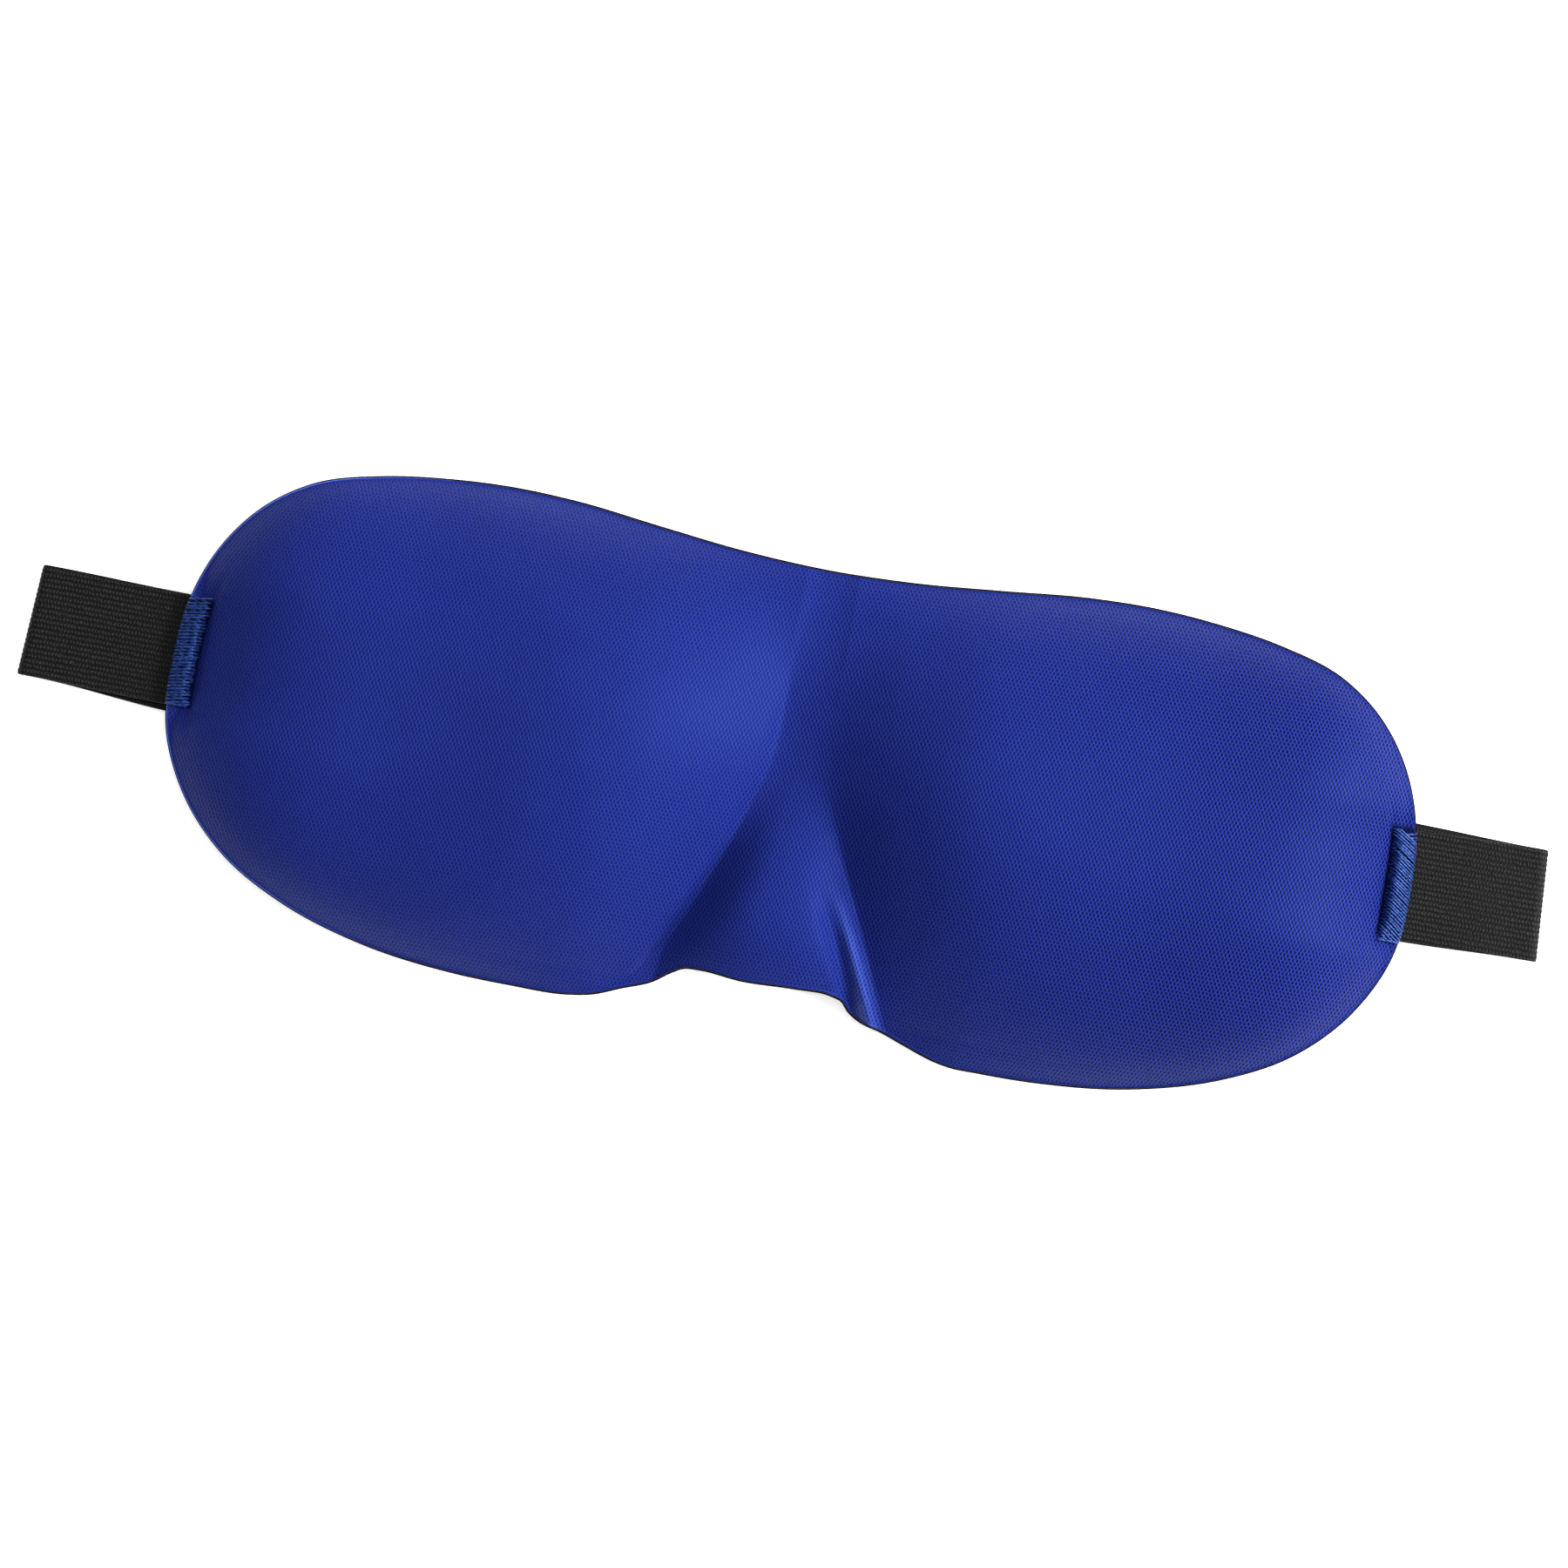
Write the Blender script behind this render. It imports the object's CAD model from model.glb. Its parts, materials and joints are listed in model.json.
"""Contoured sleep eye patch: fabric shell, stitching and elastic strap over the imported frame."""
import json
import math

import bpy
import numpy as np
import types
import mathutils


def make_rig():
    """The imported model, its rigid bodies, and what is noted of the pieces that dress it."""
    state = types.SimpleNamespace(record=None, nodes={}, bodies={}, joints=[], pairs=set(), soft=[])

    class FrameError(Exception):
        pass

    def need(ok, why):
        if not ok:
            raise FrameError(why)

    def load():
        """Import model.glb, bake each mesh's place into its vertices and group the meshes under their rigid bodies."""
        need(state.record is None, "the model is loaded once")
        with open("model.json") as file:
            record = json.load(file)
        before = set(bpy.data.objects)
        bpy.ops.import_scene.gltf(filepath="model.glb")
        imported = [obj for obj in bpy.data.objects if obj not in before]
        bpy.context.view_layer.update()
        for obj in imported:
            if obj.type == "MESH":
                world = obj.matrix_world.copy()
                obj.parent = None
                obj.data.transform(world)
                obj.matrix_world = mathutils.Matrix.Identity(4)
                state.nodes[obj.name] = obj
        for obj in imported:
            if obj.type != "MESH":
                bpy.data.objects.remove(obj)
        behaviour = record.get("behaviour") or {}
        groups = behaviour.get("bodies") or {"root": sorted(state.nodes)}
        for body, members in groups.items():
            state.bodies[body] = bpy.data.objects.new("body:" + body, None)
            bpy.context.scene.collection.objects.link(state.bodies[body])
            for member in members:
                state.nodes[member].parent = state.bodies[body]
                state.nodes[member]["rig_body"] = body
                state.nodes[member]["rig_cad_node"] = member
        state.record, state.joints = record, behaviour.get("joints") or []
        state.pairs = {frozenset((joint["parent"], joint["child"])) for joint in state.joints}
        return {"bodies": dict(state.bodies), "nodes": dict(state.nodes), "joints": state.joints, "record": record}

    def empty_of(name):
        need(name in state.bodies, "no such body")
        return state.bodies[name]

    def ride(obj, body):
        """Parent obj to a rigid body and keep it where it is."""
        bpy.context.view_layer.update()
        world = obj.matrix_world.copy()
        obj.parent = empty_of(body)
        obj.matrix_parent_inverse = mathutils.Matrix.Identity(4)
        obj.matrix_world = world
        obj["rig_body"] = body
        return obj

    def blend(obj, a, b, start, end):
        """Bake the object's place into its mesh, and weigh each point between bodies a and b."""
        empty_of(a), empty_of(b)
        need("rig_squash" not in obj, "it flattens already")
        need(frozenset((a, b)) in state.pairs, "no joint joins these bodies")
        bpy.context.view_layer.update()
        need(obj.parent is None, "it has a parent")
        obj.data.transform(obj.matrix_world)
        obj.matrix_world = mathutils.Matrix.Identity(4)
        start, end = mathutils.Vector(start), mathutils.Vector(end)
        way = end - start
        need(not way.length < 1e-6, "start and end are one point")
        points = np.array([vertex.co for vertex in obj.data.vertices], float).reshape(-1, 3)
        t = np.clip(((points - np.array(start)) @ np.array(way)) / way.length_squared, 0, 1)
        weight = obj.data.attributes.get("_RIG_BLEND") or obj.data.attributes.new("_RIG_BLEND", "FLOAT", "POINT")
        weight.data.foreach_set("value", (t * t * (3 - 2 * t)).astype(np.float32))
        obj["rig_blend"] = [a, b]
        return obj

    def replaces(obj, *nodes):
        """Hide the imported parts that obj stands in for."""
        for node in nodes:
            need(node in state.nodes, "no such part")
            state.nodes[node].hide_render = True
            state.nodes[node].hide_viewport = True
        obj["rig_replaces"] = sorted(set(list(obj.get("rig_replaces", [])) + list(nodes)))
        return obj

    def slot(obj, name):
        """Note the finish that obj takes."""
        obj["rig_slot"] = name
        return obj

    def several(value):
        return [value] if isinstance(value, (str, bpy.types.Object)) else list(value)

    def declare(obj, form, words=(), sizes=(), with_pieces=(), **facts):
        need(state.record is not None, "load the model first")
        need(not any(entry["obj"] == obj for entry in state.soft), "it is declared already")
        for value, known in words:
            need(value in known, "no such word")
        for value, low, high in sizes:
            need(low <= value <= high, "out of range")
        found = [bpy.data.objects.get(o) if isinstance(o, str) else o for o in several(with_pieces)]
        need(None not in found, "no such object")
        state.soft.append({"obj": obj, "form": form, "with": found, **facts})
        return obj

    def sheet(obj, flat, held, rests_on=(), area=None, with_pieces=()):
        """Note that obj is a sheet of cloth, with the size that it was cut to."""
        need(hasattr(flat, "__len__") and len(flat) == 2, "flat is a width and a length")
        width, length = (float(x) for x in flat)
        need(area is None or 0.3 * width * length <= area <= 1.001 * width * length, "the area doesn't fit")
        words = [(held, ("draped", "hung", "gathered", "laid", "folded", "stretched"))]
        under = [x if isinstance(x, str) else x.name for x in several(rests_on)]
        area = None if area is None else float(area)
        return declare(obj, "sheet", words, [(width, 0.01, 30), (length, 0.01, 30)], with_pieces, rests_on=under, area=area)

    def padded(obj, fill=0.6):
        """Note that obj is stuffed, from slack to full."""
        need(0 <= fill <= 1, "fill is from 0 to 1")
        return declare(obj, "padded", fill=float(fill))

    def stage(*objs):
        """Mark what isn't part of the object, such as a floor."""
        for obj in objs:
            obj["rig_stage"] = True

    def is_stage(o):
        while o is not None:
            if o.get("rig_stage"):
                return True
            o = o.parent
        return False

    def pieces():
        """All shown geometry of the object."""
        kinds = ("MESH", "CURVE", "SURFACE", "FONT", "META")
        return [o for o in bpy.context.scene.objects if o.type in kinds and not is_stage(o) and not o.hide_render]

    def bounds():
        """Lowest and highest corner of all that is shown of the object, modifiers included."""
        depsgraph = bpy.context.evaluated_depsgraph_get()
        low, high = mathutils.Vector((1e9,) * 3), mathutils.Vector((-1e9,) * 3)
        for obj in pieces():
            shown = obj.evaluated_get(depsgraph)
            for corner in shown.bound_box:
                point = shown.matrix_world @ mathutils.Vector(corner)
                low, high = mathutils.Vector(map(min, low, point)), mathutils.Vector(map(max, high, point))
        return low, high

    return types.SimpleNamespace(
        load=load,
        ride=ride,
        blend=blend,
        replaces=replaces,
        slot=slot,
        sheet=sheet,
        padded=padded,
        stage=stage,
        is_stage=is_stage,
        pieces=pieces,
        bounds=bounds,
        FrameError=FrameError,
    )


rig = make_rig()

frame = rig.load()
frame_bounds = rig.bounds()
rng = np.random.default_rng(7)
MM = 0.001

# ---------------------------------------------------------------- sizes, in millimetres

# layers of the mask
FABRIC_T = 0.6
LINING_T = 0.6
FOAM_T = 4.0
PINCHED_FOAM_T = 1.0
RIM_STACK = FABRIC_T + PINCHED_FOAM_T + LINING_T
CLOTH_ROLL = 0.4  # fabric rolled beyond the outline below
LINING_REVEAL = 0.35  # lining seen beyond the fabric
BEAD_RADIUS = 0.22  # rounding of the fabric at the rim
TABLE_GAP = 0.05  # between the lining's rim and the table

# relief of the mask
CUP_DEPTH = 16.8
CUP_OUTER_X = 115.7  # outer foot of the cups
VALLEY_HEIGHT = 5.6  # of the strip between the cups
NOSE_HEIGHT = 7.0  # of the arch over the nose, above that strip
NOSE_TOP_Y, NOSE_LOW_Y = 4.0, -30.0  # where the arch begins and reaches its height
RIM_FLAT, TACK_FLAT = 0.5, 3.4  # pressed flat at the rim, and more of it beside a tack
FOAM_RECOVERY = 5.0  # distance over which the pressed foam springs back
GROOVE_DEPTH, GROOVE_FROM_RIM, GROOVE_WIDTH = 0.8, 4.3, 0.8
TACK_ZONE_X = (95.0, 106.0)  # where the effect of a tack begins and is full

# elastic strap
ELASTIC_W = 20.8
ELASTIC_T = 1.2
EDGE_ROUNDING = 0.35
RIB_RELIEF = 0.05
STRAP_Y = 4.0
SEAM_X = 115.4  # hinge at the bar tacks
FOLD_X = 140.2  # hinge at the folds
PEEL_X = -12.5  # hinge of the hook end
TAB_Z = 2.3  # underside of the elastic from tack to fold
TAB_MIDDLE_Z = TAB_Z + ELASTIC_T / 2
FOLD_Z = 1.75  # middle of the fold's half turn
END_LIFT = TAB_Z + ELASTIC_T + 0.3
LEFT_END_X, RIGHT_END_X = 40.0, -25.0
RIGHT_LIFT = 3.1  # the right band climbs this high to lie over the left one
RAMP_OUTER_X, RAMP_INNER_X = 102.0, 88.0

# stitches and weaves
TACK_LEN, TACK_W = 20.4, 4.4
TACK_PITCH = 0.60
KNIT_X, KNIT_Y = 0.73, 0.685  # pinhole spacing
RIB_PITCH, DASH_PITCH = 0.95, 0.64

# the mask's edge: one side from forehead to cheek, then the nose notch from right to left
SIDE_EDGE = [
    (0, 40.1), (16, 40.7), (32, 42.3), (48, 44.1), (60, 44.5), (72, 43.8), (84, 42.0),
    (96, 38.3), (104, 32.6), (110, 24.8), (113.7, 15.5), (115.0, 3.5), (114.1, -10.0),
    (108.3, -22.0), (99.6, -30.9), (88, -37.4), (72, -42.3), (56, -44.3), (44, -44.6),
]
NOSE_EDGE = [
    (38.5, -44.5), (35.7, -44.0), (30, -42.2), (24.5, -40.3), (20.6, -39.2), (18.6, -37.9),
    (17.2, -36.3), (14.5, -35.4), (8, -35.3), (-2, -35.7), (-10, -35.2), (-13, -35.5),
    (-15.6, -37.0), (-18.5, -39.2), (-23.8, -41.4), (-28.9, -43.5), (-33, -44.3),
]


def smooth_step(value, start, end):
    """0 at start and 1 at end, with level ends."""
    t = np.clip((value - start) / (end - start), 0.0, 1.0)
    return t * t * (3 - 2 * t)


def bell(value, middle, width):
    """1 at the middle, falling to 0 on both sides."""
    return np.exp(-((value - middle) / width) ** 2)


# ---------------------------------------------------------------- mask outline and relief

def closed_outline(per_span=24):
    """Smooth closed curve through the outline points."""
    points = np.array(SIDE_EDGE + NOSE_EDGE + [(-x, y) for x, y in reversed(SIDE_EDGE[1:])])
    t = np.linspace(0, 1, per_span, endpoint=False)[:, None]
    samples = []
    for i in range(len(points)):
        p0, p1, p2, p3 = (points[(i + k) % len(points)] for k in (-1, 0, 1, 2))
        pairs = ((p0, p1), (p1, p2), (p2, p3))
        d1, d2, d3 = (max(np.linalg.norm(b - a), 1e-6) for a, b in pairs)
        m1 = d2 * ((p1 - p0) / d1 - (p2 - p0) / (d1 + d2) + (p2 - p1) / d2)
        m2 = d2 * ((p2 - p1) / d2 - (p3 - p1) / (d2 + d3) + (p3 - p2) / d3)
        samples.append((2 * t**3 - 3 * t**2 + 1) * p1 + (t**3 - 2 * t**2 + t) * m1
                       + (3 * t**2 - 2 * t**3) * p2 + (t**3 - t**2) * m2)
    return np.concatenate(samples)


def grown(curve, distance):
    """The closed outline moved outwards."""
    along = np.roll(curve, -1, axis=0) - np.roll(curve, 1, axis=0)
    along /= np.linalg.norm(along, axis=1)[:, None]
    return curve + distance * np.column_stack([-along[:, 1], along[:, 0]])


OUTLINE = grown(closed_outline(), CLOTH_ROLL)


def edge_tables(curve):
    """Upper and lower edge of a closed outline as functions of x, and its largest x."""
    right, left = np.argmax(curve[:, 0]), np.argmin(curve[:, 0])
    upper = np.concatenate([curve[left:], curve[:right + 1]])
    lower = curve[right:left + 1][::-1]
    return (lambda x: np.interp(x, upper[:, 0], upper[:, 1]),
            lambda x: np.interp(x, lower[:, 0], lower[:, 1]), curve[right, 0])


EDGE_UP, EDGE_LOW = edge_tables(grown(OUTLINE, LINING_REVEAL))[:2]


def rim_distance(x, y):
    """Distance to the mask's edge, exact near it."""
    flat = np.column_stack([x.ravel(), y.ravel()])
    closest = np.full(len(flat), 1e9)
    for start in range(0, len(OUTLINE), 64):
        gap = flat[:, None, :] - OUTLINE[None, start:start + 64, :]
        closest = np.minimum(closest, (gap**2).sum(axis=2).min(axis=1))
    return np.sqrt(closest).reshape(x.shape)


def strip_half_width(y):
    """Half width of the strip between the cups: narrow above, opening over the nose."""
    below = (np.hypot(NOSE_TOP_Y - y, 6.0) + NOSE_TOP_Y - y) / 2
    return 4.8 + 16.6 * (below / 40.0) ** 1.1


def strip_middle(y):
    """X of that strip's middle line, a little right of the mask's."""
    return 0.9 + 1.1 * smooth_step(y, NOSE_TOP_Y, NOSE_LOW_Y)


def nose_bridge(x, y):
    """Height of the strip between the cups: a saddle above and an arch over the nose."""
    saddle = VALLEY_HEIGHT * (1 - ((y - NOSE_TOP_Y) / 44.0) ** 2)
    spread = smooth_step(np.abs(x), 70.0, 25.0)
    arch = NOSE_HEIGHT * smooth_step(y, NOSE_TOP_Y, NOSE_LOW_Y)
    across = 1 - np.clip(np.abs(x - strip_middle(y)) / strip_half_width(y), 0, 1) ** 2.3
    return np.maximum(saddle, 0.0) * spread + arch * across


def near_tack(y):
    """1 beside the bar tacks, falling to 0 above and below them."""
    return np.exp(-((y - STRAP_Y) / 12.0) ** 4)


def cup_height(x, y):
    """Height of the eye cups over the rim; their feet are creased by the nose, softer above."""
    outer = CUP_OUTER_X - 5.0 * near_tack(y)
    edge_x = np.clip(x, -113.0, 113.0)
    top, bottom = EDGE_UP(edge_x), EDGE_LOW(edge_x)
    across = 1 - np.abs((2 * y - top - bottom) / (top - bottom)) ** 2.2
    soft_left = 0.4 * smooth_step(y, -15.0, 8.0) + 2.8 * smooth_step(y, 16.0, 38.0)
    soft_right = 2.8 * smooth_step(y, -16.0, 12.0) + 0.8 * smooth_step(y, 12.0, 36.0)
    total = 0.0
    for side, softness in ((-1, soft_left), (1, soft_right)):
        inner = strip_half_width(y) + side * strip_middle(y)
        along = 1 - np.abs((2 * side * x - inner - outer) / (outer - inner)) ** 2.2
        height = CUP_DEPTH * np.where(along > 0, along * across, along)
        near_nose = smooth_step(side * x, 60.0, 30.0)
        rounding = 1.0 + (softness - 0.7) * near_nose
        lifted = height + np.hypot(height, rounding) - rounding * (1 - near_nose)
        total = total + np.maximum(lifted, 0.0) / 2
    return total


def crease_ridge(x, y):
    """Where the cloth bunches into a narrow ridge along the right-hand crease of the nose."""
    from_right = strip_middle(y) + strip_half_width(y) - x
    return bell(from_right, 2.4, 1.3) * smooth_step(y, -15.0, -28.0)


def nose_folds(x, y):
    """Ridge and hollow by the right-hand crease, and the tuck along the left-hand one."""
    from_right = strip_middle(y) + strip_half_width(y) - x
    from_left = x - strip_middle(y) + strip_half_width(y)
    hollow = bell(from_right, 5.6, 1.7) * smooth_step(y, -15.0, -28.0)
    tuck_depth = (0.9 + 1.4 * smooth_step(y, 5.0, -20.0)) * smooth_step(y, 28.0, 12.0)
    tuck_width = np.where(from_left > 1.0, 5.5, 1.6)
    tuck = tuck_depth * bell(from_left, 1.0, tuck_width)
    return crease_ridge(x, y) - 1.8 * hollow - tuck


def back_height(x, y):
    """Height of the lining's face that lies against the head."""
    end_lift = END_LIFT * smooth_step(np.abs(x), 70.0, 103.0)
    nose = np.maximum(nose_bridge(x, y) + nose_folds(x, y), 0.0)
    return TABLE_GAP + end_lift + nose + cup_height(x, y)


def front_height(x, y):
    """Outer face: a pressed rim, a groove beside each bar tack, then the sprung foam."""
    distance = rim_distance(x, y)
    tacked = near_tack(y) * smooth_step(np.abs(x), *TACK_ZONE_X)
    depth = np.maximum(distance - RIM_FLAT - TACK_FLAT * tacked, 0.0)
    spring_back = (FOAM_T - PINCHED_FOAM_T) * (1 - np.exp(-depth / FOAM_RECOVERY))
    groove = GROOVE_DEPTH * tacked * bell(distance, GROOVE_FROM_RIM, GROOVE_WIDTH)
    return back_height(x, y) + RIM_STACK + spring_back - groove


# ---------------------------------------------------------------- mesh helpers

def new_mesh(name, vertices, faces, material, body=None):
    """Smooth-shaded object from vertices in millimetres."""
    mesh = bpy.data.meshes.new(name)
    mesh.from_pydata((vertices * MM).tolist(), [], [list(map(int, face)) for face in faces])
    mesh.update()
    mesh.shade_smooth()
    mesh.materials.append(material)
    obj = bpy.data.objects.new(name, mesh)
    bpy.context.scene.collection.objects.link(obj)
    if body:
        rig.ride(obj, body)
    return obj


def paint(obj, name, values):
    """Stores a number on each vertex for the material to read."""
    layer = obj.data.attributes.new(name, "FLOAT", "POINT")
    layer.data.foreach_set("value", values.astype(np.float32))


def grid_faces(rows, columns, offset=0, wrap=False):
    """Quads over a rows x columns grid of vertices; wrap joins the last column to the first."""
    spans = columns if wrap else columns - 1
    r, c = np.meshgrid(np.arange(rows - 1), np.arange(spans), indexing="ij")
    following = (c + 1) % columns
    quads = [r * columns + c, (r + 1) * columns + c,
             (r + 1) * columns + following, r * columns + following]
    return np.stack([q.ravel() for q in quads], axis=1) + offset


def mask_grid(inset, nu, nv):
    """Points (x, y) filling the outline, closer together at the rim and the nose."""
    up, low, end = edge_tables(grown(OUTLINE, -inset))
    u = np.linspace(-0.9985, 0.9985, nu)
    x = end * np.sin(math.pi / 2 * u * (0.5 + 0.5 * u * u))
    v = np.sin(math.pi / 2 * np.linspace(-1, 1, nv))
    x = np.repeat(x[:, None], nv, axis=1)
    middle, half = (up(x) + low(x)) / 2, (up(x) - low(x)) / 2
    return x, middle + v[None, :] * half


def boundary_indices(nu, nv):
    """Grid indices of the rim, in order round the mask."""
    index = np.arange(nu * nv).reshape(nu, nv)
    return np.concatenate([index[:, -1], index[-1, -2:0:-1], index[::-1, 0], index[0, 1:-1]])


def side_faces(upper, lower):
    """Quads facing outwards between two loops of the rim's vertices."""
    return np.column_stack([upper, np.roll(upper, -1), np.roll(lower, -1), lower])


def outward(loop):
    """Unit vectors pointing out of a loop of (x, y) points."""
    along = np.roll(loop, -2, axis=0) - np.roll(loop, 2, axis=0)
    normal = np.column_stack([-along[:, 1], along[:, 0]])
    return normal / np.maximum(np.linalg.norm(normal, axis=1), 1e-9)[:, None]


def skirted(points, rim, profile):
    """Adds loops round the rim; profile lists (outwards, down) steps from it."""
    loop = points[rim]
    normal = outward(loop[:, :2])
    layers = [points]
    faces = []
    previous = rim
    for step, (out, down) in enumerate(profile):
        ring = np.column_stack([loop[:, :2] + out * normal, loop[:, 2] - down])
        current = len(points) + step * len(rim) + np.arange(len(rim))
        layers.append(ring)
        faces.append(side_faces(previous, current))
        previous = current
    return np.concatenate(layers), np.concatenate(faces)


def slab(top, base, nu, nv):
    """Vertices and faces of the solid between two grids of the same shape."""
    rim = boundary_indices(nu, nv)
    under = grid_faces(nu, nv, len(top))[:, ::-1]
    faces = np.concatenate([grid_faces(nu, nv), side_faces(rim, rim + len(top)), under])
    return np.concatenate([top, base]), faces


def closed_layer(name, upper, lower, inset, nu, nv, material):
    """Solid layer between two height functions."""
    x, y = mask_grid(inset, nu, nv)
    top = np.column_stack([x.ravel(), y.ravel(), upper(x, y).ravel()])
    base = np.column_stack([x.ravel(), y.ravel(), lower(x, y).ravel()])
    return new_mesh(name, *slab(top, base, nu, nv), material, "mask")


# ---------------------------------------------------------------- shader helpers

class Shader:
    """A Principled material and short ways to add nodes to it."""

    def __init__(self, name, roughness, sheen=0.0, sheen_roughness=0.5, specular=0.3,
                 sheen_tint=(1, 1, 1, 1)):
        self.material = bpy.data.materials.new(name)
        self.material.use_nodes = True
        self.tree = self.material.node_tree
        self.bsdf = self.tree.nodes["Principled BSDF"]
        self.bsdf.inputs["Roughness"].default_value = roughness
        self.bsdf.inputs["Specular IOR Level"].default_value = specular
        self.bsdf.inputs["Sheen Weight"].default_value = sheen
        self.bsdf.inputs["Sheen Roughness"].default_value = sheen_roughness
        self.bsdf.inputs["Sheen Tint"].default_value = sheen_tint
        place = self.tree.nodes.new("ShaderNodeTexCoord").outputs["Object"]
        self.place = self.vector("MULTIPLY", place, (1000, 1000, 1000))
        self.x, self.y = self.add("ShaderNodeSeparateXYZ", self.place).outputs[:2]

    def fill(self, sockets, sources):
        """Links each socket to its source, or sets it where the source is a plain value."""
        for socket, source in zip(sockets, sources):
            if isinstance(source, bpy.types.NodeSocket):
                self.tree.links.new(source, socket)
            else:
                socket.default_value = source

    def add(self, kind, *sources):
        """New node of a kind with its first inputs filled."""
        node = self.tree.nodes.new(kind)
        self.fill(node.inputs, sources)
        return node

    def math(self, operation, *sources):
        """Result of a number operation."""
        node = self.add("ShaderNodeMath", *sources)
        node.operation = operation
        return node.outputs[0]

    def vector(self, operation, *sources):
        """Result of a vector operation."""
        node = self.add("ShaderNodeVectorMath", *sources)
        node.operation = operation
        return node.outputs[0]

    def noise(self, scale, detail=2.0, stretch=(1, 1, 1)):
        """Soft noise; scale is the number of its features in a millimetre."""
        node = self.tree.nodes.new("ShaderNodeTexNoise")
        self.tree.links.new(self.vector("MULTIPLY", self.place, stretch), node.inputs["Vector"])
        node.inputs["Scale"].default_value = scale
        node.inputs["Detail"].default_value = detail
        return node.outputs["Fac"]

    def ramp(self, value, low, high, out_low=0.0, out_high=1.0):
        """Smooth step from out_low at low to out_high at high."""
        node = self.tree.nodes.new("ShaderNodeMapRange")
        node.interpolation_type = "SMOOTHSTEP"
        self.tree.links.new(value, node.inputs["Value"])
        for name, number in (("From Min", low), ("From Max", high),
                             ("To Min", out_low), ("To Max", out_high)):
            node.inputs[name].default_value = number
        return node.outputs["Result"]

    def mix(self, factor, first, second):
        """Blend of two colours."""
        node = self.tree.nodes.new("ShaderNodeMix")
        node.data_type = "RGBA"
        factor_socket, colour_sockets = node.inputs[0], node.inputs[6:8]
        self.fill([factor_socket, *colour_sockets], [factor, first, second])
        return node.outputs[2]

    def attribute(self, name):
        """Number painted on the mesh."""
        node = self.tree.nodes.new("ShaderNodeAttribute")
        node.attribute_name = name
        return node.outputs["Fac"]

    def feed(self, socket, source):
        """Links a node's output to the surface."""
        self.tree.links.new(source, self.bsdf.inputs[socket])

    def bump(self, height, depth):
        """Adds relief; depth is the height in millimetres between values 0 and 1."""
        node = self.tree.nodes.new("ShaderNodeBump")
        node.inputs["Strength"].default_value = 1.0
        node.inputs["Distance"].default_value = depth * MM
        self.tree.links.new(height, node.inputs["Height"])
        before = self.bsdf.inputs["Normal"]
        if before.is_linked:
            self.tree.links.new(before.links[0].from_socket, node.inputs["Normal"])
        self.tree.links.new(node.outputs["Normal"], before)

    def wave(self, value, pitch):
        """Cosine of a length, one cycle per pitch."""
        return self.math("COSINE", self.math("MULTIPLY", value, 2 * math.pi / pitch))


def dimmed(colour, share):
    """The colour scaled towards black."""
    return tuple(share * c for c in colour[:3]) + (1,)


STRETCHED_BLUE = (0.055, 0.10, 0.45, 1)
SHADED_BLUE = (0.0012, 0.0012, 0.012, 1)


def knit_material(name, base, shade, glint, lustre, sheen, worn=False):
    """Fine warp knit: staggered pinholes between raised loops of lustrous yarn.

    A worn knit also reads the numbers painted on the mesh: "knit" closes the pinholes,
    "stretch" lightens the cloth and "edge" darkens it.
    """
    shader = Shader(name, roughness=0.45, sheen=0.16, sheen_roughness=0.35, specular=0.09,
                    sheen_tint=sheen)
    shader.bsdf.inputs["Specular Tint"].default_value = lustre
    wander = shader.ramp(shader.noise(0.35), 0.0, 1.0, -0.16, 0.16)
    x = shader.math("ADD", shader.x, wander)
    y = shader.math("ADD", shader.y, wander)
    lattice = shader.math("MULTIPLY", shader.wave(x, KNIT_X), shader.wave(y, 2 * KNIT_Y))
    hole = shader.ramp(lattice, -0.15, 0.5)
    fibres = shader.noise(2.4, 3.0, (1.0, 2.0, 1.0))
    patchy = shader.ramp(shader.noise(0.12, 3.0), 0.3, 0.7, 0.0, 0.4)
    cloth = shader.mix(patchy, base, dimmed(base, 0.88))
    cloth = shader.mix(shader.ramp(fibres, 0.45, 0.8, 0.0, 0.25), cloth, glint)
    if worn:
        cloth = shader.mix(shader.attribute("stretch"), cloth, STRETCHED_BLUE)
        hole = shader.math("MULTIPLY", hole, shader.attribute("knit"))
    cloth = shader.mix(shader.math("MULTIPLY", hole, 0.92), cloth, shade)
    if worn:
        cloth = shader.mix(shader.attribute("edge"), cloth, SHADED_BLUE)
    shader.feed("Base Color", cloth)
    shader.bump(fibres, 0.015)
    shader.bump(shader.math("SUBTRACT", 1.0, hole), 0.12)
    return shader.material


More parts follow.
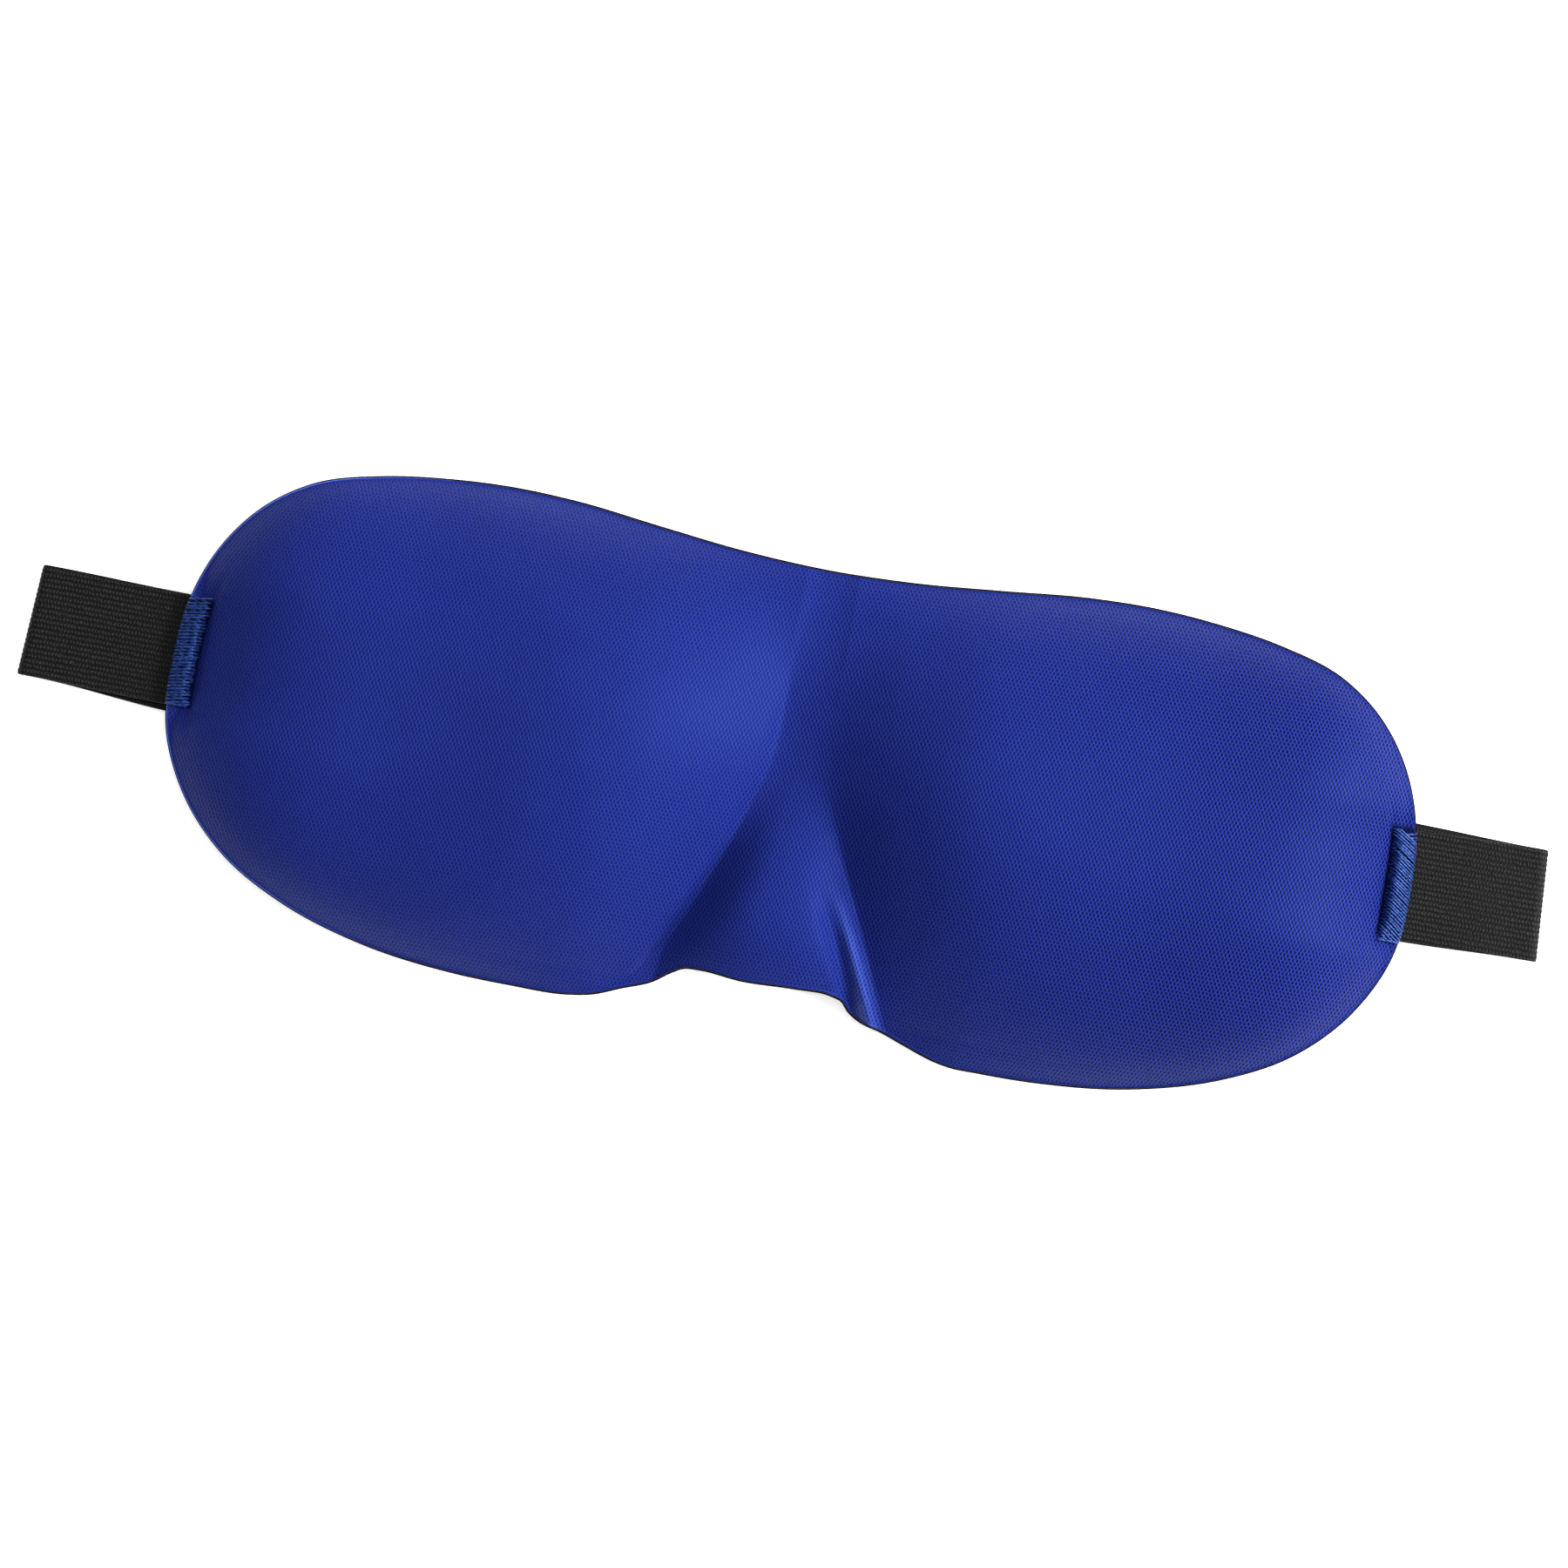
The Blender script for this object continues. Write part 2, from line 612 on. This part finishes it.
def elastic_material():
    """Woven elastic: lengthwise ribs of short slanting stitches, leaning left and right in turn."""
    shader = Shader("elastic_webbing", roughness=0.65, specular=0.12)
    zigzag = shader.math("PINGPONG", shader.y, RIB_PITCH)
    slant = shader.math("MULTIPLY_ADD", zigzag, 0.42, shader.x)
    jitter = shader.ramp(shader.noise(0.9), 0.0, 1.0, -0.2, 0.2)
    dash = shader.wave(shader.math("ADD", slant, jitter), DASH_PITCH)
    rows = shader.wave(shader.math("ADD", shader.y, jitter), RIB_PITCH)
    rib = shader.ramp(rows, -0.8, 0.3, 0.12, 1.0)
    yarn = shader.math("MULTIPLY", shader.ramp(dash, -0.4, 0.5, 0.12, 1.0), rib)
    fleck = shader.ramp(shader.noise(2.2, 3.0), 0.55, 0.75, 0.0, 0.6)
    patches = shader.ramp(shader.noise(0.2), 0.3, 0.7)
    gap = shader.mix(patches, (0.0005, 0.0005, 0.0006, 1), (0.0010, 0.0010, 0.0012, 1))
    cloth = shader.mix(yarn, gap, (0.0150, 0.0150, 0.0160, 1))
    pale_yarn = shader.mix(rib, gap, (0.031, 0.031, 0.033, 1))
    shader.feed("Base Color", shader.mix(fleck, cloth, pale_yarn))
    shader.bump(yarn, 0.22)
    return shader.material


def thread_material(name, base, light, lustre):
    """Glossy twisted sewing thread, lighter where it lies on top."""
    shader = Shader(name, roughness=0.38, sheen=0.05, sheen_roughness=0.3, specular=0.7,
                    sheen_tint=lustre)
    shader.bsdf.inputs["Specular Tint"].default_value = lustre
    strands = shader.ramp(shader.noise(2.0, 2.0, (0.6, 1.5, 1.0)), 0.4, 0.62)
    shader.feed("Base Color", shader.mix(strands, base, light))
    shader.bump(strands, 0.05)
    return shader.material


def pile_material(name, base, light, grain):
    """Napped or hooked tape: close, uneven tufts."""
    shader = Shader(name, roughness=0.85, sheen=0.3, sheen_roughness=0.5, specular=0.15)
    tufts = shader.noise(grain, 5.0)
    shader.feed("Base Color", shader.mix(shader.ramp(tufts, 0.35, 0.7), base, light))
    shader.bump(tufts, 0.3)
    return shader.material


BLUE = knit_material("blue_knit", worn=True,
                     base=(0.0098, 0.0186, 0.160, 1), shade=(0.0008, 0.0008, 0.016, 1),
                     glint=(0.020, 0.038, 0.26, 1), lustre=(0.22, 0.34, 1.0, 1),
                     sheen=(0.10, 0.18, 1.0, 1))
BLACK_KNIT = knit_material("black_knit",
                           base=(0.006, 0.005, 0.011, 1), shade=(0.002, 0.001, 0.004, 1),
                           glint=(0.016, 0.015, 0.024, 1), lustre=(0.30, 0.28, 0.36, 1),
                           sheen=(0.3, 0.28, 0.36, 1))
ELASTIC = elastic_material()
BLUE_THREAD = thread_material("blue_thread", base=(0.004, 0.011, 0.070, 1),
                              light=(0.016, 0.048, 0.235, 1), lustre=(0.30, 0.50, 1.0, 1))
BLACK_THREAD = thread_material("black_thread", base=(0.006, 0.006, 0.007, 1),
                               light=(0.03, 0.03, 0.032, 1), lustre=(1, 1, 1, 1))
FOAM = pile_material("black_foam", base=(0.008, 0.008, 0.012, 1),
                     light=(0.022, 0.022, 0.030, 1), grain=2.0)
HOOK_TAPE = pile_material("hook_tape", base=(0.008, 0.008, 0.009, 1),
                          light=(0.035, 0.035, 0.037, 1), grain=1.2)
LOOP_TAPE = pile_material("loop_pile", base=(0.010, 0.010, 0.011, 1),
                          light=(0.060, 0.060, 0.064, 1), grain=2.4)


# ---------------------------------------------------------------- mask shell

def build_outer_fabric(nu=640, nv=240):
    """Blue fabric: over the cups and rolled round the rim."""
    x, y = mask_grid(BEAD_RADIUS, nu, nv)
    z = front_height(x, y)
    points = np.column_stack([x.ravel(), y.ravel(), z.ravel()])
    turns = np.radians([18, 36, 54, 72, 90])
    roll = [(BEAD_RADIUS * math.sin(a), BEAD_RADIUS * (1 - math.cos(a))) for a in turns]
    roll += [(BEAD_RADIUS, 1.0), (BEAD_RADIUS - 0.1, 1.45)]
    vertices, skirt = skirted(points, boundary_indices(nu, nv), roll)
    faces = np.concatenate([grid_faces(nu, nv), skirt])
    obj = new_mesh("outer_fabric_cover", vertices, faces, BLUE, "mask")
    paint_wear(obj, vertices, np.arange(len(vertices)) >= nu * nv)
    thickness = obj.modifiers.new("cloth", "SOLIDIFY")
    thickness.thickness = FABRIC_T * MM
    thickness.offset = -1
    return obj


def paint_wear(obj, vertices, rim):
    """Paints where the knit opens, where it is stretched light and where it lies in shade."""
    x, y = vertices[:, 0], vertices[:, 1]
    distance = rim_distance(x, y)
    opened = 0.6 + 0.4 * smooth_step(x, -10.0, 105.0)
    paint(obj, "knit", np.where(rim, 0.0, opened * smooth_step(distance, 0.2, 0.6)))
    along_tack = smooth_step(np.abs(y - STRAP_Y), TACK_LEN / 2 + 0.3, TACK_LEN / 2 - 0.5)
    across_tack = smooth_step(distance, GROOVE_FROM_RIM + GROOVE_WIDTH, GROOVE_FROM_RIM)
    under_tack = along_tack * across_tack * (np.abs(x) > TACK_ZONE_X[0])
    right_rim = rim * smooth_step(x, -100.0, -50.0)
    paint(obj, "edge", np.maximum(0.9 * under_tack, right_rim))
    left_rim = rim * smooth_step(x, -60.0, -105.0)
    paint(obj, "stretch", np.maximum(0.4 * crease_ridge(x, y), left_rim))


def blank(outline):
    """Flat size and area, in metres, of cloth cut to an outline."""
    x, y = outline.T
    area = abs(np.dot(x, np.roll(y, -1)) - np.dot(y, np.roll(x, -1))) / 2
    return {"flat": tuple(np.ptp(outline, axis=0) * MM), "area": area * MM**2}


outer_fabric = build_outer_fabric()
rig.replaces(outer_fabric, "outer_fabric")
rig.slot(outer_fabric, "blue_knit")

LAYER_GAP = 0.02
foam = closed_layer("foam_shell", lambda x, y: front_height(x, y) - FABRIC_T - LAYER_GAP,
                    lambda x, y: back_height(x, y) + LINING_T + LAYER_GAP,
                    inset=0.75, nu=240, nv=100, material=FOAM)
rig.replaces(foam, "foam_core")
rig.slot(foam, "foam")
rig.padded(foam, fill=0.9)

lining = closed_layer("lining_cover", lambda x, y: back_height(x, y) + LINING_T, back_height,
                      inset=-LINING_REVEAL, nu=360, nv=160, material=BLACK_KNIT)
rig.replaces(lining, "lining_fabric")
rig.slot(lining, "black_knit")

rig.sheet(outer_fabric, held="stretched", rests_on=[foam], **blank(OUTLINE))
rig.sheet(lining, held="stretched", rests_on=[foam], **blank(grown(OUTLINE, LINING_REVEAL)))


# ---------------------------------------------------------------- elastic strap

def ribbon_section(points_across=81):
    """Closed section (across, up) of the elastic with rounded edges and lengthwise ribs."""
    half_thick = ELASTIC_T / 2
    flat = ELASTIC_W / 2 - EDGE_ROUNDING
    across = np.linspace(-flat, flat, points_across)
    rib = RIB_RELIEF * np.cos(2 * math.pi * across / RIB_PITCH)
    turn = np.radians(np.linspace(75, -75, 6))
    edge = np.column_stack([flat + EDGE_ROUNDING * np.cos(turn),
                            half_thick * 0.92 * np.sin(turn)])
    top = np.column_stack([across, half_thick - RIB_RELIEF + rib])
    bottom = np.column_stack([across[::-1], -half_thick + RIB_RELIEF - rib[::-1]])
    return np.concatenate([top, edge, bottom, edge[::-1] * (-1, 1)])


def ribbon(name, centre, normal, lean, flip, end_caps):
    """Elastic swept along centre points; lean shifts each section along x per mm across.

    flip turns the faces round for a strap that runs the other way; end_caps closes its ends.
    """
    across, rise = ribbon_section().T
    rows = []
    for point, up, skew in zip(centre, normal, lean):
        rows.append(np.column_stack([point[0] + rise * up[0] + skew * across,
                                     point[1] + across, point[2] + rise * up[1]]))
    vertices = np.concatenate(rows)
    count = len(across)
    faces = grid_faces(len(rows), count, wrap=True).tolist()
    if end_caps[0]:
        faces.append(list(range(count)))
    if end_caps[1]:
        faces.append(list(range(len(vertices) - 1, len(vertices) - count - 1, -1)))
    if flip:
        faces = [face[::-1] for face in faces]
    obj = new_mesh(name, vertices, faces, ELASTIC)
    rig.slot(obj, "elastic")
    return obj


# how each side lies: where the fold is, y of the elastic's middle at the seam, at the fold and
# under the mask, the fold's lean, and the bar tack's y, slant of stitches and height
LIE = {-1: {"fold_x": 141.6, "seam_y": 4.3, "fold_y": 4.7, "under_y": 3.0, "lean": 0.053,
            "tack_y": 4.4, "slant": 0.8, "puff": 0.8},
       1: {"fold_x": 138.9, "seam_y": 3.5, "fold_y": 4.4, "under_y": 4.8, "lean": -0.076,
           "tack_y": 3.1, "slant": 3.0, "puff": 1.0}}
WORD = {-1: "left", 1: "right"}


def strap_front(side, step=0.2):
    """Anchor and tab: from under the rim to the fold."""
    lie = LIE[side]
    start, end = SEAM_X - 10.2, min(lie["fold_x"], FOLD_X)
    x = np.linspace(start, end, round((end - start) / step) + 1)
    drift = lie["fold_y"] - lie["seam_y"]
    y = lie["seam_y"] + drift * smooth_step(x, SEAM_X - 1, lie["fold_x"])
    centre = np.column_stack([side * x, y, np.full_like(x, TAB_MIDDLE_Z)])
    lean = lie["lean"] * smooth_step(x, SEAM_X, lie["fold_x"])
    up = np.tile([0.0, 1.0], (len(x), 1))
    return ribbon(f"{WORD[side]}_strap_front", centre, up, lean, side < 0, (True, False))


def strap_bend(side):
    """Half turn at the fold, with the straight runs between it and the fold's axis."""
    lie = LIE[side]
    radius = TAB_MIDDLE_Z - FOLD_Z
    turn = np.linspace(90, -90, 19)
    run = np.arange(FOLD_X, lie["fold_x"] - 0.1, 0.2)
    degrees = np.concatenate([np.full(len(run), 90), turn, np.full(len(run), -90)])
    angle = np.radians(degrees)
    turn_x = np.concatenate([run, np.full(len(turn), lie["fold_x"]), run[::-1]])
    centre = np.column_stack([side * (turn_x + radius * np.cos(angle)),
                              np.full(len(angle), lie["fold_y"]),
                              FOLD_Z + radius * np.sin(angle)])
    up = np.column_stack([side * np.cos(angle), np.sin(angle)])
    lean = np.full(len(angle), lie["lean"])
    return ribbon(f"{WORD[side]}_strap_bend", centre, up, lean, side < 0, (False, False))


def strap_back(side, past_middle, step=0.5):
    """Band behind the mask: in from the fold to its free end, past the mask's middle."""
    lie = LIE[side]
    start = min(lie["fold_x"], FOLD_X)
    x = np.linspace(start, -past_middle, round((start + past_middle) / step) + 1)
    drift = lie["under_y"] - lie["fold_y"]
    y = lie["fold_y"] + drift * smooth_step(x, lie["fold_x"], SEAM_X - 3)
    y = STRAP_Y + (y - STRAP_Y) * smooth_step(x, 45.0, 100.0)
    lift = (RIGHT_LIFT if side > 0 else 0.0) * smooth_step(x, RAMP_OUTER_X, RAMP_INNER_X)
    centre = np.column_stack([side * x, y, ELASTIC_T / 2 + lift])
    slope = np.gradient(lift, x)
    up = np.column_stack([-side * slope, -np.ones_like(x)]) / np.hypot(slope, 1)[:, None]
    lean = lie["lean"] * smooth_step(x, SEAM_X, lie["fold_x"])
    return ribbon(f"{WORD[side]}_strap_back", centre, up, lean, side < 0, (False, True))


def on_strap(x, z):
    """Point on the strap's middle line, in metres."""
    return (x * MM, STRAP_Y * MM, z * MM)


for side, word in WORD.items():
    front = strap_front(side)
    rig.blend(front, "mask", f"{word}_tab", on_strap(side * (SEAM_X - 1.0), TAB_MIDDLE_Z),
             on_strap(side * (SEAM_X + 1.6), TAB_MIDDLE_Z))
    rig.replaces(front, f"{word}_strap_anchor", f"{word}_strap_tab")
    bend = strap_bend(side)
    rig.blend(bend, f"{word}_tab", f"{word}_band", on_strap(side * FOLD_X, FOLD_Z + 0.85),
             on_strap(side * FOLD_X, FOLD_Z - 0.85))
    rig.replaces(bend, f"{word}_strap_fold")

left_back = strap_back(-1, LEFT_END_X)
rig.blend(left_back, "left_band", "left_end", on_strap(PEEL_X - 2, ELASTIC_T / 2),
         on_strap(PEEL_X + 2, ELASTIC_T / 2))
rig.replaces(left_back, "left_strap_band", "left_strap_end")
right_back = strap_back(1, -RIGHT_END_X)
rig.ride(right_back, "right_band")
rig.replaces(right_back, "right_strap_band")


# ---------------------------------------------------------------- stitching

def tubes(name, paths, radius, material, body, sides=6):
    """Threads: a round tube along each path of points."""
    vertices, faces = [], []
    angle = np.linspace(0, 2 * math.pi, sides, endpoint=False)
    for path in paths:
        path = np.asarray(path, dtype=float)
        along = np.gradient(path, axis=0)
        along /= np.linalg.norm(along, axis=1)[:, None]
        side_way = np.cross(along, (0, 0, 1.0))
        side_way /= np.maximum(np.linalg.norm(side_way, axis=1), 1e-6)[:, None]
        up = np.cross(side_way, along)
        start = sum(len(v) for v in vertices)
        taper = np.ones(len(path))
        taper[[0, -1]] = 0.35
        ring = (np.cos(angle)[None, :, None] * side_way[:, None, :]
                + np.sin(angle)[None, :, None] * up[:, None, :])
        tube = path[:, None, :] + radius * taper[:, None, None] * ring
        vertices.append(tube.reshape(-1, 3))
        faces += grid_faces(len(path), sides, start, wrap=True).tolist()
        faces.append(list(range(start + sides - 1, start - 1, -1)))
        faces.append(list(range(start + sides * (len(path) - 1), start + sides * len(path))))
    return new_mesh(name, np.concatenate(vertices), faces, material, body)


RIM_SIDE = OUTLINE[OUTLINE[:, 0] > 105.0][::-1]


def tack_paths(side, height, lift, reach):
    """Satin stitches from the rim inwards, rising as they go, with sunken return stitches.

    height gives the face they lie on, lift their rise from it and reach their start past the rim.
    """
    lie = LIE[side]
    t = np.linspace(0, 1, 13)
    arch = 1 - np.abs(2 * t - 1) ** 4
    paths = []
    for row in np.arange(-TACK_LEN / 2, TACK_LEN / 2, TACK_PITCH):
        for slant, sink in ((lie["slant"], 0.0), (-1.0, 0.45)):
            along = row + slant * (t - 0.5) + rng.uniform(-0.12, 0.12)
            y = lie["tack_y"] + np.clip(along, -TACK_LEN / 2, TACK_LEN / 2)
            rim = np.interp(y, RIM_SIDE[:, 1], RIM_SIDE[:, 0])
            x = rim + reach - (TACK_W + rng.uniform(-0.25, 0.45)) * t
            under = np.minimum(x, rim - BEAD_RADIUS)
            level = arch * (0.15 + 1.9 * t) - sink + rng.uniform(-0.15, 0.05)
            z = height(side * under, y) + lift * level
            z -= np.sign(lift) * 0.9 * np.clip((x - rim + 0.2) / 0.6, 0, 1) ** 2
            paths.append(np.column_stack([side * x, y, z]))
    return paths


def tab_face(x, y):
    """Height of the elastic's underside, where the bobbin thread lies."""
    return np.full_like(x, TAB_Z)


for side, word in WORD.items():
    on_top = tack_paths(side, front_height, LIE[side]["puff"], 0.4)
    needle = tubes(f"{word}_tack_stitches", on_top, 0.2, BLUE_THREAD, "mask")
    below = tack_paths(side, tab_face, -0.2, -0.6)
    bobbin = tubes(f"{word}_tack_back_stitches", below, 0.18, BLUE_THREAD, "mask")
    for obj, node in ((needle, "needle"), (bobbin, "bobbin")):
        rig.replaces(obj, f"{word}_tack_{node}_thread")
        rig.slot(obj, "blue_thread")


def frame_stitches(x_low, x_high, z, inset=0.8, pitch=2.6, length=2.0):
    """Lockstitch round a patch, one short raised stitch after another."""
    x0, x1 = x_low + inset, x_high - inset
    y0, y1 = STRAP_Y - ELASTIC_W / 2 + inset, STRAP_Y + ELASTIC_W / 2 - inset
    corners = [(x0, y0), (x1, y0), (x1, y1), (x0, y1), (x0, y0)]
    paths = []
    t = np.linspace(0, 1, 6)
    for (xa, ya), (xb, yb) in zip(corners, corners[1:]):
        run = math.hypot(xb - xa, yb - ya)
        count = int(run / pitch)
        for k in range(count):
            s = (k + 0.5) * run / count + (t - 0.5) * length
            paths.append(np.column_stack([xa + (xb - xa) * s / run, ya + (yb - ya) * s / run,
                                          z + 0.10 * np.sin(math.pi * t)]))
    return paths


TAPE_T, PILE_T = 0.5, 0.3
PATCHES = {
    "hook": {"x": (-8.0, 38.0), "z": ELASTIC_T, "up": 1, "body": "left_end", "pile": HOOK_TAPE},
    "loop": {"x": (-22.0, 72.0), "z": RIGHT_LIFT, "up": -1, "body": "right_band",
             "pile": LOOP_TAPE},
}


def patch_mesh(name, spec):
    """Tape with a stitched flat margin and a raised, slightly uneven field of pile."""
    x_low, x_high = spec["x"]
    x = np.arange(x_low, x_high + 0.01, 0.5)
    y = np.linspace(STRAP_Y - ELASTIC_W / 2, STRAP_Y + ELASTIC_W / 2, 41)
    gx, gy = np.meshgrid(x, y, indexing="ij")
    edge = np.minimum(np.minimum(gx - x_low, x_high - gx),
                      ELASTIC_W / 2 - np.abs(gy - STRAP_Y))
    rise = TAPE_T * smooth_step(edge, -0.01, 0.25) + PILE_T * smooth_step(edge, 1.3, 1.9)
    rise += rng.uniform(-0.06, 0.0, gx.shape) * smooth_step(edge, 1.5, 2.0)
    top = np.column_stack([gx.ravel(), gy.ravel(), spec["z"] + spec["up"] * rise.ravel()])
    base = top.copy()
    base[:, 2] = spec["z"]
    vertices, faces = slab(top, base, *gx.shape)
    if spec["up"] < 0:
        faces = faces[:, ::-1]
    return new_mesh(name, vertices, faces, spec["pile"], spec["body"])


for kind, spec in PATCHES.items():
    patch = patch_mesh(f"{kind}_patch_pile", spec)
    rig.replaces(patch, f"{kind}_patch")
    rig.slot(patch, f"{kind}_tape")
    paths = frame_stitches(*spec["x"], spec["z"] + spec["up"] * (TAPE_T + 0.08))
    stitches = tubes(f"{kind}_patch_stitches", paths, 0.16, BLACK_THREAD, spec["body"])
    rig.replaces(stitches, f"{kind}_patch_stitching")
    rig.slot(stitches, "black_thread")


# ---------------------------------------------------------------- floor, light and camera

def plain_material(name, colour, roughness, glow):
    """Matt paper, lit a little from below as on a light table."""
    shader = Shader(name, roughness=roughness, specular=0.2)
    shader.bsdf.inputs["Emission Color"].default_value = (1, 1, 1, 1)
    shader.bsdf.inputs["Emission Strength"].default_value = glow
    grain = shader.ramp(shader.noise(0.05, 2.0), 0.3, 0.7)
    shader.feed("Base Color", shader.mix(grain, colour, dimmed(colour, 0.985)))
    return shader.material


bpy.ops.mesh.primitive_plane_add(size=6.0, location=(0, 0, -0.0005))
floor = bpy.context.object
floor.name = "studio_floor"
floor.data.materials.append(plain_material("floor_paper", (0.93, 0.93, 0.93, 1), 0.9, 0.5))
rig.stage(floor)


def area_light(name, azimuth, tilt, distance, width, power):
    """Soft light aimed at the object; tilt is from straight overhead, azimuth from +X."""
    data = bpy.data.lights.new(name, "AREA")
    data.size = width
    data.energy = power
    light = bpy.data.objects.new(name, data)
    bpy.context.scene.collection.objects.link(light)
    a, t = math.radians(azimuth), math.radians(tilt)
    light.location = (distance * math.sin(t) * math.cos(a), distance * math.sin(t) * math.sin(a),
                      distance * math.cos(t))
    light.rotation_euler = (0, t, a)


area_light("key_softbox", azimuth=16, tilt=55, distance=1.4, width=0.86, power=50)
area_light("top_softbox", azimuth=90, tilt=8, distance=2.4, width=2.0, power=34)

world = bpy.data.worlds.new("studio")
world.use_nodes = True
background = world.node_tree.nodes["Background"]
background.inputs["Color"].default_value = (1, 1, 1, 1)
background.inputs["Strength"].default_value = 0.31
scene = bpy.context.scene
scene.world = world
scene.view_settings.view_transform = "Standard"

CAMERA_ROLL = math.radians(10.7)
VIEW_WIDTH, VIEW_DISTANCE = 0.2898, 0.95  # in metres
VIEW_CENTRE = (-1.06, 0.61)
SENSOR_WIDTH = 36
camera_data = bpy.data.cameras.new("camera")
camera_data.sensor_width = SENSOR_WIDTH
camera_data.lens = SENSOR_WIDTH * VIEW_DISTANCE / VIEW_WIDTH
camera = bpy.data.objects.new("camera", camera_data)
camera.location = (VIEW_CENTRE[0] * MM, VIEW_CENTRE[1] * MM, VIEW_DISTANCE)
camera.rotation_euler = (0, 0, CAMERA_ROLL)
scene.collection.objects.link(camera)
scene.camera = camera

with open("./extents.json", "w") as report:
    json.dump({"frame": [list(p) for p in frame_bounds], "scene": [list(p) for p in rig.bounds()]},
              report)
